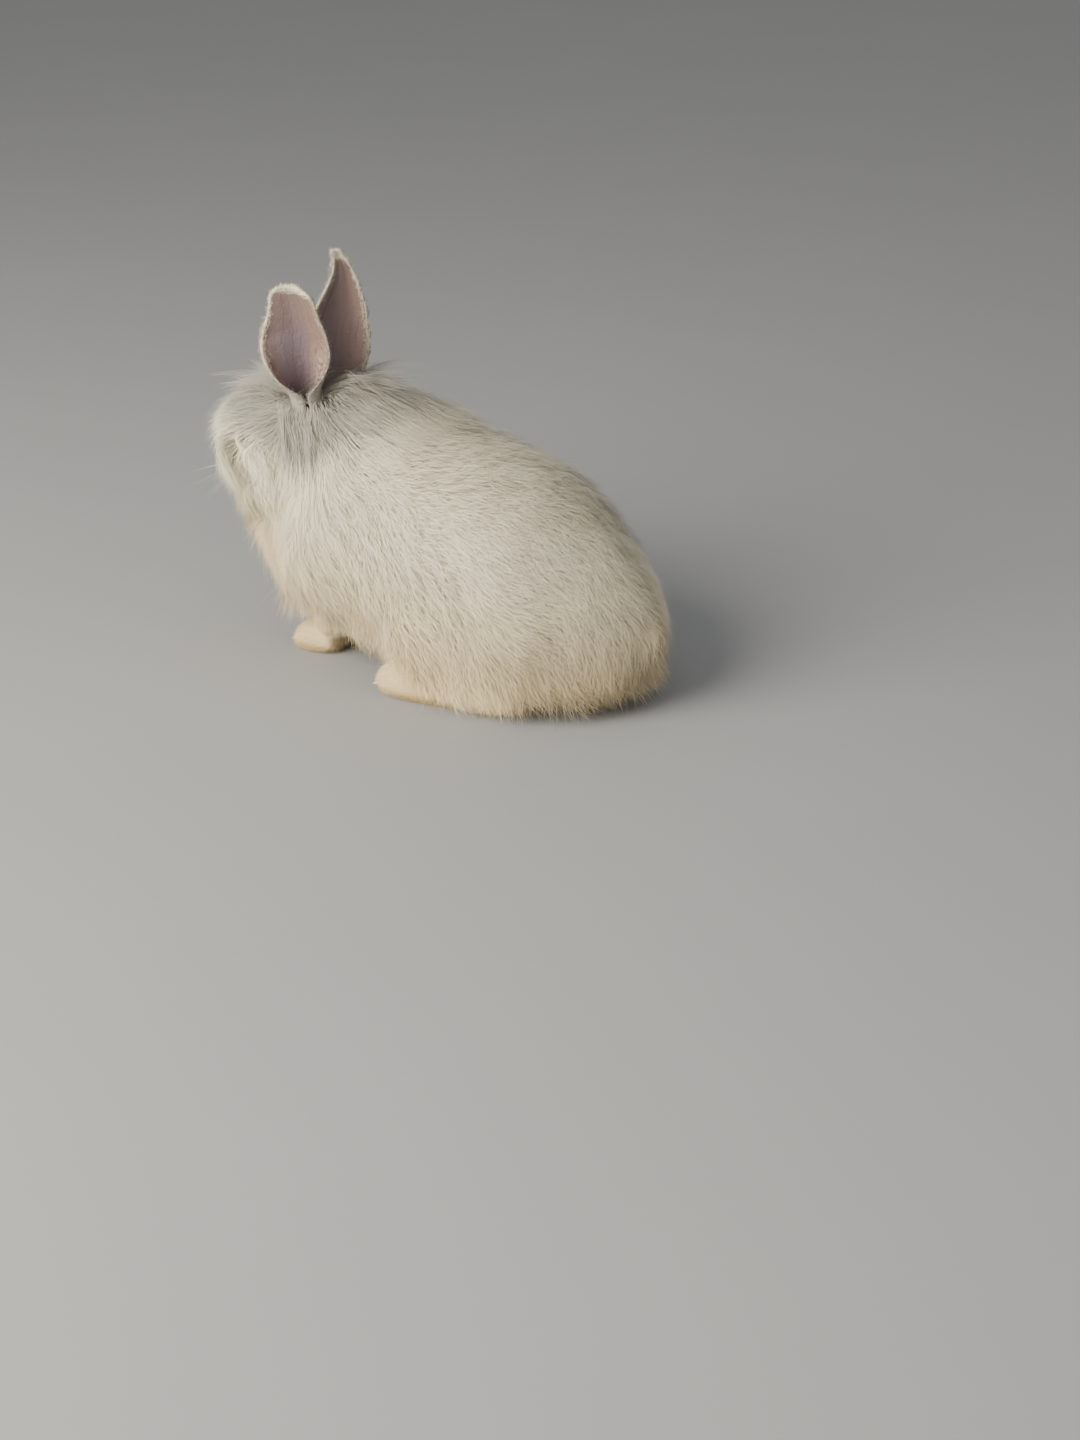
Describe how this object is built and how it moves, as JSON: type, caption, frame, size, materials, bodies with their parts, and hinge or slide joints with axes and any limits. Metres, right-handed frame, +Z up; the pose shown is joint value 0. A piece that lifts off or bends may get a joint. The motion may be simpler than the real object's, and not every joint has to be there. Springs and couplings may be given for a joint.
{
  "type": "lionhead rabbit model",
  "caption": "Still life-size model of a white lionhead rabbit sitting at rest, with a maned neck, upright ears and fluffy coat.",
  "frame": {"origin": "middle of the rabbit's box, on the floor that its feet rest on", "axes": "+Z up; the rabbit faces -X, its left side is -Y"},
  "size_m": [0.2756, 0.1384, 0.206],
  "materials": {
    "coat": "soft white fur with a warm cream tint low on the sides and grey shade in the mane",
    "paw": "short off-white fur, yellowed at the soles",
    "ear": "thin pink skin with mauve veins and a furred rim",
    "claw": "smooth translucent horn",
    "eye": "wet gloss, dark grey-brown"
  },
  "bodies": {
    "root": {"head": "coat", "neck": "coat", "torso": "coat", "tail": "coat", "thigh_left": "coat", "thigh_right": "coat", "foreleg_left": "coat", "foreleg_right": "coat", "forepaw_left": "paw", "forepaw_right": "paw", "hindfoot_left": "paw", "hindfoot_right": "paw", "ear_left": "ear", "ear_right": "ear", "eye_left": "eye", "eye_right": "eye"}
  },
  "joints": []
}
